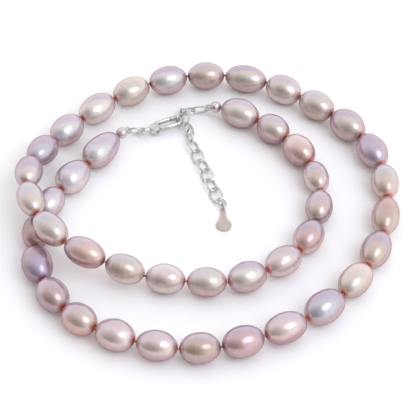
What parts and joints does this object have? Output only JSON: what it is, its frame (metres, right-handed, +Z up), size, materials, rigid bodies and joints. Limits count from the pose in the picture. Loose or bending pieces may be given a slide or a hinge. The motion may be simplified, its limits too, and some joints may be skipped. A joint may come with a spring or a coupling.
{
  "type": "pearl necklace",
  "caption": "Strand of oval freshwater pearls laid in two nested turns, closed by a silver lobster claw, with an extender chain and a drop-shaped tag.",
  "frame": {"origin": "on the floor, under the middle of the whole necklace's bounding box", "axes": "+Z up from the surface the necklace lies on, +Y from the near pearls towards the far ones, +X to the right of someone looking along +Y"},
  "size_m": [0.0934, 0.0952, 0.013],
  "materials": {
    "nacre_champagne": "lustrous nacre, champagne body colour",
    "nacre_rose": "lustrous nacre, rose body colour",
    "nacre_peach": "lustrous nacre, peach body colour",
    "nacre_lavender": "lustrous nacre, lavender body colour",
    "nacre_silver": "lustrous nacre, silver body colour",
    "nacre_mauve": "lustrous nacre, mauve body colour",
    "silver_polished": "polished silver",
    "silver_cast": "cast silver, softly polished",
    "silver_brushed": "fine brushed lines along the tag",
    "silk": "twisted silk"
  },
  "bodies": {
    "strand": {"thread": "silk", "end_balls": "silver_polished", "crimps": "silver_polished"},
    "clasp_ring": {"clasp_ring": "silver_polished"},
    "clasp": {"clasp_body": "silver_cast", "lever_pin": "silver_polished", "lever_spring": "silver_polished"},
    "lever": {"clasp_lever": "silver_cast"},
    "link_a": {"link_a": "silver_polished"},
    "link_b": {"link_b": "silver_polished"},
    "hook_link": {"hook_link": "silver_polished"},
    "chain_1": {"chain_links_1": "silver_polished"},
    "chain_2": {"chain_links_2": "silver_polished"},
    "chain_3": {"chain_links_3": "silver_polished"},
    "chain_4": {"chain_links_4": "silver_polished"},
    "tag_ring": {"tag_ring": "silver_polished"},
    "tag": {"tag": "silver_brushed"},
    "pearl_01": {"pearl_01": "nacre_champagne"},
    "pearl_02": {"pearl_02": "nacre_rose"},
    "pearl_03": {"pearl_03": "nacre_peach"},
    "pearl_04": {"pearl_04": "nacre_champagne"},
    "pearl_05": {"pearl_05": "nacre_lavender"},
    "pearl_06": {"pearl_06": "nacre_peach"},
    "pearl_07": {"pearl_07": "nacre_peach"},
    "pearl_08": {"pearl_08": "nacre_champagne"},
    "pearl_09": {"pearl_09": "nacre_champagne"},
    "pearl_10": {"pearl_10": "nacre_silver"},
    "pearl_11": {"pearl_11": "nacre_rose"},
    "pearl_12": {"pearl_12": "nacre_mauve"},
    "pearl_13": {"pearl_13": "nacre_champagne"},
    "pearl_14": {"pearl_14": "nacre_silver"},
    "pearl_15": {"pearl_15": "nacre_lavender"},
    "pearl_16": {"pearl_16": "nacre_lavender"},
    "pearl_17": {"pearl_17": "nacre_rose"},
    "pearl_18": {"pearl_18": "nacre_champagne"},
    "pearl_19": {"pearl_19": "nacre_champagne"},
    "pearl_20": {"pearl_20": "nacre_lavender"},
    "pearl_21": {"pearl_21": "nacre_mauve"},
    "pearl_22": {"pearl_22": "nacre_rose"},
    "pearl_23": {"pearl_23": "nacre_silver"},
    "pearl_24": {"pearl_24": "nacre_champagne"},
    "pearl_25": {"pearl_25": "nacre_lavender"},
    "pearl_26": {"pearl_26": "nacre_rose"},
    "pearl_27": {"pearl_27": "nacre_peach"},
    "pearl_28": {"pearl_28": "nacre_champagne"},
    "pearl_29": {"pearl_29": "nacre_rose"},
    "pearl_30": {"pearl_30": "nacre_silver"},
    "pearl_31": {"pearl_31": "nacre_mauve"},
    "pearl_32": {"pearl_32": "nacre_peach"},
    "pearl_33": {"pearl_33": "nacre_rose"},
    "pearl_34": {"pearl_34": "nacre_mauve"},
    "pearl_35": {"pearl_35": "nacre_peach"},
    "pearl_36": {"pearl_36": "nacre_lavender"},
    "pearl_37": {"pearl_37": "nacre_peach"},
    "pearl_38": {"pearl_38": "nacre_mauve"},
    "pearl_39": {"pearl_39": "nacre_mauve"},
    "pearl_40": {"pearl_40": "nacre_lavender"},
    "pearl_41": {"pearl_41": "nacre_peach"},
    "pearl_42": {"pearl_42": "nacre_silver"},
    "pearl_43": {"pearl_43": "nacre_rose"}
  },
  "joints": [
    {"name": "lever_pivot", "type": "hinge", "parent": "clasp", "child": "lever", "pos_m": [-0.01365, 0.0262, 0.00155], "axis": [0, 0, 1], "range_deg": [0, 11], "stiffness_Nm_per_rad": 0.00002},
    {"name": "clasp_ring_swing", "type": "hinge", "parent": "strand", "child": "clasp_ring", "pos_m": [-0.02034, 0.02439, 0.00292], "axis": [0, 0, 1], "range_deg": [-0.5, 1]},
    {"name": "clasp_swing", "type": "hinge", "parent": "clasp_ring", "child": "clasp", "pos_m": [-0.0168, 0.02543, 0.00155], "axis": [0, 0, 1], "range_deg": [-1, 0.5]},
    {"name": "link_a_swing", "type": "hinge", "parent": "strand", "child": "link_a", "pos_m": [0.00001, 0.03313, 0.0024], "axis": [0, 0, -1], "range_deg": [-1.5, 0.7]},
    {"name": "link_b_swing", "type": "hinge", "parent": "link_a", "child": "link_b", "pos_m": [-0.00376, 0.03307, 0.00155], "axis": [0, 0, -1], "range_deg": [-1, 0.8]},
    {"name": "hook_link_swing", "type": "hinge", "parent": "link_b", "child": "hook_link", "pos_m": [-0.00724, 0.03284, 0.00138], "axis": [0, 0, 1], "range_deg": [-2, 1]},
    {"name": "chain_1_swing", "type": "hinge", "parent": "link_b", "child": "chain_1", "pos_m": [-0.00627, 0.03219, 0.00145], "axis": [0, 0, -1], "range_deg": [-3, 1.5]},
    {"name": "chain_2_swing", "type": "hinge", "parent": "chain_1", "child": "chain_2", "pos_m": [-0.00489, 0.02527, 0.00125], "axis": [0, 0, 1], "range_deg": [-5, 5]},
    {"name": "chain_3_swing", "type": "hinge", "parent": "chain_2", "child": "chain_3", "pos_m": [-0.00316, 0.01889, 0.0009], "axis": [0, 0, 1], "range_deg": [-6, 6]},
    {"name": "chain_4_swing", "type": "hinge", "parent": "chain_3", "child": "chain_4", "pos_m": [-0.00071, 0.01235, 0.00084], "axis": [0, 0, 1], "range_deg": [-6, 6]},
    {"name": "tag_ring_swing", "type": "hinge", "parent": "chain_4", "child": "tag_ring", "pos_m": [0.0027, 0.00247, 0.00086], "axis": [0, 0, 1], "range_deg": [-6, 6]},
    {"name": "tag_swing", "type": "hinge", "parent": "tag_ring", "child": "tag", "pos_m": [0.0037, 0.00091, 0.0008], "axis": [0, 0, 1], "range_deg": [-6, 6]},
    {"name": "pearl_01_spin", "type": "hinge", "parent": "strand", "child": "pearl_01", "pos_m": [0.00825, 0.02973, 0.00375], "axis": [0.8849, -0.4657, 0], "continuous": true},
    {"name": "pearl_02_spin", "type": "hinge", "parent": "strand", "child": "pearl_02", "pos_m": [0.0165, 0.02398, 0.00373], "axis": [0.7328, -0.6804, -0.0038], "continuous": true},
    {"name": "pearl_03_spin", "type": "hinge", "parent": "strand", "child": "pearl_03", "pos_m": [0.02275, 0.01648, 0.00369], "axis": [0.5432, -0.8396, -0.0036], "continuous": true},
    {"name": "pearl_04_spin", "type": "hinge", "parent": "strand", "child": "pearl_04", "pos_m": [0.0265, 0.00748, 0.00353], "axis": [0.2059, -0.9781, -0.0297], "continuous": true},
    {"name": "pearl_05_spin", "type": "hinge", "parent": "strand", "child": "pearl_05", "pos_m": [0.02675, -0.00227, 0.00346], "axis": [-0.1483, -0.9888, 0.0142], "continuous": true},
    {"name": "pearl_06_spin", "type": "hinge", "parent": "strand", "child": "pearl_06", "pos_m": [0.02375, -0.01177, 0.00353], "axis": [-0.4472, -0.8944, 0], "continuous": true},
    {"name": "pearl_07_spin", "type": "hinge", "parent": "strand", "child": "pearl_07", "pos_m": [0.0175, -0.01927, 0.0036], "axis": [-0.7999, -0.5999, 0.0144], "continuous": true},
    {"name": "pearl_08_spin", "type": "hinge", "parent": "strand", "child": "pearl_08", "pos_m": [0.009, -0.02402, 0.00367], "axis": [-0.932, -0.3624, 0], "continuous": true},
    {"name": "pearl_09_spin", "type": "hinge", "parent": "strand", "child": "pearl_09", "pos_m": [-0.00025, -0.02552, 0.00364], "axis": [-0.9986, 0.0526, -0.0076], "continuous": true},
    {"name": "pearl_10_spin", "type": "hinge", "parent": "strand", "child": "pearl_10", "pos_m": [-0.00975, -0.02452, 0.0036], "axis": [-0.9878, 0.156, 0], "continuous": true},
    {"name": "pearl_11_spin", "type": "hinge", "parent": "strand", "child": "pearl_11", "pos_m": [-0.019, -0.02302, 0.00529], "axis": [-0.925, 0.1542, 0.3474], "continuous": true},
    {"name": "pearl_12_spin", "type": "hinge", "parent": "strand", "child": "pearl_12", "pos_m": [-0.02825, -0.02002, 0.00762], "axis": [-0.8971, 0.4249, 0.121], "continuous": true},
    {"name": "pearl_13_spin", "type": "hinge", "parent": "strand", "child": "pearl_13", "pos_m": [-0.0365, -0.01402, 0.00907], "axis": [-0.6741, 0.7223, 0.1543], "continuous": true},
    {"name": "pearl_14_spin", "type": "hinge", "parent": "strand", "child": "pearl_14", "pos_m": [-0.04175, -0.00527, 0.00969], "axis": [-0.3302, 0.9433, -0.0336], "continuous": true},
    {"name": "pearl_15_spin", "type": "hinge", "parent": "strand", "child": "pearl_15", "pos_m": [-0.04325, 0.00498, 0.00814], "axis": [0.046, 0.9666, -0.2522], "continuous": true},
    {"name": "pearl_16_spin", "type": "hinge", "parent": "strand", "child": "pearl_16", "pos_m": [-0.041, 0.01498, 0.00524], "axis": [0.372, 0.8835, -0.2846], "continuous": true},
    {"name": "pearl_17_spin", "type": "hinge", "parent": "strand", "child": "pearl_17", "pos_m": [-0.03575, 0.02373, 0.00371], "axis": [0.6306, 0.7761, 0], "continuous": true},
    {"name": "pearl_18_spin", "type": "hinge", "parent": "strand", "child": "pearl_18", "pos_m": [-0.0285, 0.03148, 0.00371], "axis": [0.7295, 0.6839, 0], "continuous": true},
    {"name": "pearl_19_spin", "type": "hinge", "parent": "strand", "child": "pearl_19", "pos_m": [-0.02, 0.03798, 0.00373], "axis": [0.8533, 0.5214, 0.0034], "continuous": true},
    {"name": "pearl_20_spin", "type": "hinge", "parent": "strand", "child": "pearl_20", "pos_m": [-0.0105, 0.04223, 0.00375], "axis": [0.9578, 0.2873, 0], "continuous": true},
    {"name": "pearl_21_spin", "type": "hinge", "parent": "strand", "child": "pearl_21", "pos_m": [-0.0005, 0.04398, 0.00369], "axis": [0.9987, 0.0499, -0.0108], "continuous": true},
    {"name": "pearl_22_spin", "type": "hinge", "parent": "strand", "child": "pearl_22", "pos_m": [0.01, 0.04273, 0.00373], "axis": [0.9646, -0.2631, 0.0158], "continuous": true},
    {"name": "pearl_23_spin", "type": "hinge", "parent": "strand", "child": "pearl_23", "pos_m": [0.01975, 0.03848, 0.00382], "axis": [0.8396, -0.5433, 0], "continuous": true},
    {"name": "pearl_24_spin", "type": "hinge", "parent": "strand", "child": "pearl_24", "pos_m": [0.028, 0.03248, 0.00385], "axis": [0.7761, -0.6306, 0.007], "continuous": true},
    {"name": "pearl_25_spin", "type": "hinge", "parent": "strand", "child": "pearl_25", "pos_m": [0.0355, 0.02523, 0.00389], "axis": [0.6585, -0.7526, 0], "continuous": true},
    {"name": "pearl_26_spin", "type": "hinge", "parent": "strand", "child": "pearl_26", "pos_m": [0.041, 0.01623, 0.00378], "axis": [0.3713, -0.9283, -0.0201], "continuous": true},
    {"name": "pearl_27_spin", "type": "hinge", "parent": "strand", "child": "pearl_27", "pos_m": [0.04325, 0.00598, 0.00355], "axis": [0.0476, -0.9986, -0.024], "continuous": true},
    {"name": "pearl_28_spin", "type": "hinge", "parent": "strand", "child": "pearl_28", "pos_m": [0.0425, -0.00502, 0.00348], "axis": [-0.1713, -0.9852, 0.0093], "continuous": true},
    {"name": "pearl_29_spin", "type": "hinge", "parent": "strand", "child": "pearl_29", "pos_m": [0.03925, -0.01577, 0.00353], "axis": [-0.4104, -0.9119, 0], "continuous": true},
    {"name": "pearl_30_spin", "type": "hinge", "parent": "strand", "child": "pearl_30", "pos_m": [0.03375, -0.02502, 0.00366], "axis": [-0.6073, -0.7941, 0.0235], "continuous": true},
    {"name": "pearl_31_spin", "type": "hinge", "parent": "strand", "child": "pearl_31", "pos_m": [0.02625, -0.03277, 0.00378], "axis": [-0.7719, -0.6357, 0], "continuous": true},
    {"name": "pearl_32_spin", "type": "hinge", "parent": "strand", "child": "pearl_32", "pos_m": [0.01725, -0.03852, 0.00373], "axis": [-0.9037, -0.4281, -0.0103], "continuous": true},
    {"name": "pearl_33_spin", "type": "hinge", "parent": "strand", "child": "pearl_33", "pos_m": [0.00775, -0.04227, 0.00367], "axis": [-0.9536, -0.3011, 0], "continuous": true},
    {"name": "pearl_34_spin", "type": "hinge", "parent": "strand", "child": "pearl_34", "pos_m": [-0.00175, -0.04402, 0.00364], "axis": [-0.9986, -0.0526, -0.0076], "continuous": true},
    {"name": "pearl_35_spin", "type": "hinge", "parent": "strand", "child": "pearl_35", "pos_m": [-0.01125, -0.04327, 0.00364], "axis": [-0.9785, 0.206, 0.0074], "continuous": true},
    {"name": "pearl_36_spin", "type": "hinge", "parent": "strand", "child": "pearl_36", "pos_m": [-0.0205, -0.04052, 0.00367], "axis": [-0.932, 0.3624, 0], "continuous": true},
    {"name": "pearl_37_spin", "type": "hinge", "parent": "strand", "child": "pearl_37", "pos_m": [-0.02875, -0.03602, 0.00366], "axis": [-0.8064, 0.5914, -0.0039], "continuous": true},
    {"name": "pearl_38_spin", "type": "hinge", "parent": "strand", "child": "pearl_38", "pos_m": [-0.03525, -0.02927, 0.00366], "axis": [-0.5665, 0.824, 0.0037], "continuous": true},
    {"name": "pearl_39_spin", "type": "hinge", "parent": "strand", "child": "pearl_39", "pos_m": [-0.0395, -0.02027, 0.00367], "axis": [-0.2873, 0.9578, 0], "continuous": true},
    {"name": "pearl_40_spin", "type": "hinge", "parent": "strand", "child": "pearl_40", "pos_m": [-0.0405, -0.01027, 0.00357], "axis": [0.0995, 0.9948, -0.0215], "continuous": true},
    {"name": "pearl_41_spin", "type": "hinge", "parent": "strand", "child": "pearl_41", "pos_m": [-0.038, -0.00102, 0.00362], "axis": [0.4255, 0.9043, 0.0345], "continuous": true},
    {"name": "pearl_42_spin", "type": "hinge", "parent": "strand", "child": "pearl_42", "pos_m": [-0.033, 0.00748, 0.00378], "axis": [0.5767, 0.817, 0], "continuous": true},
    {"name": "pearl_43_spin", "type": "hinge", "parent": "strand", "child": "pearl_43", "pos_m": [-0.0265, 0.01673, 0.00376], "axis": [0.5735, 0.8192, -0.0029], "continuous": true}
  ]
}
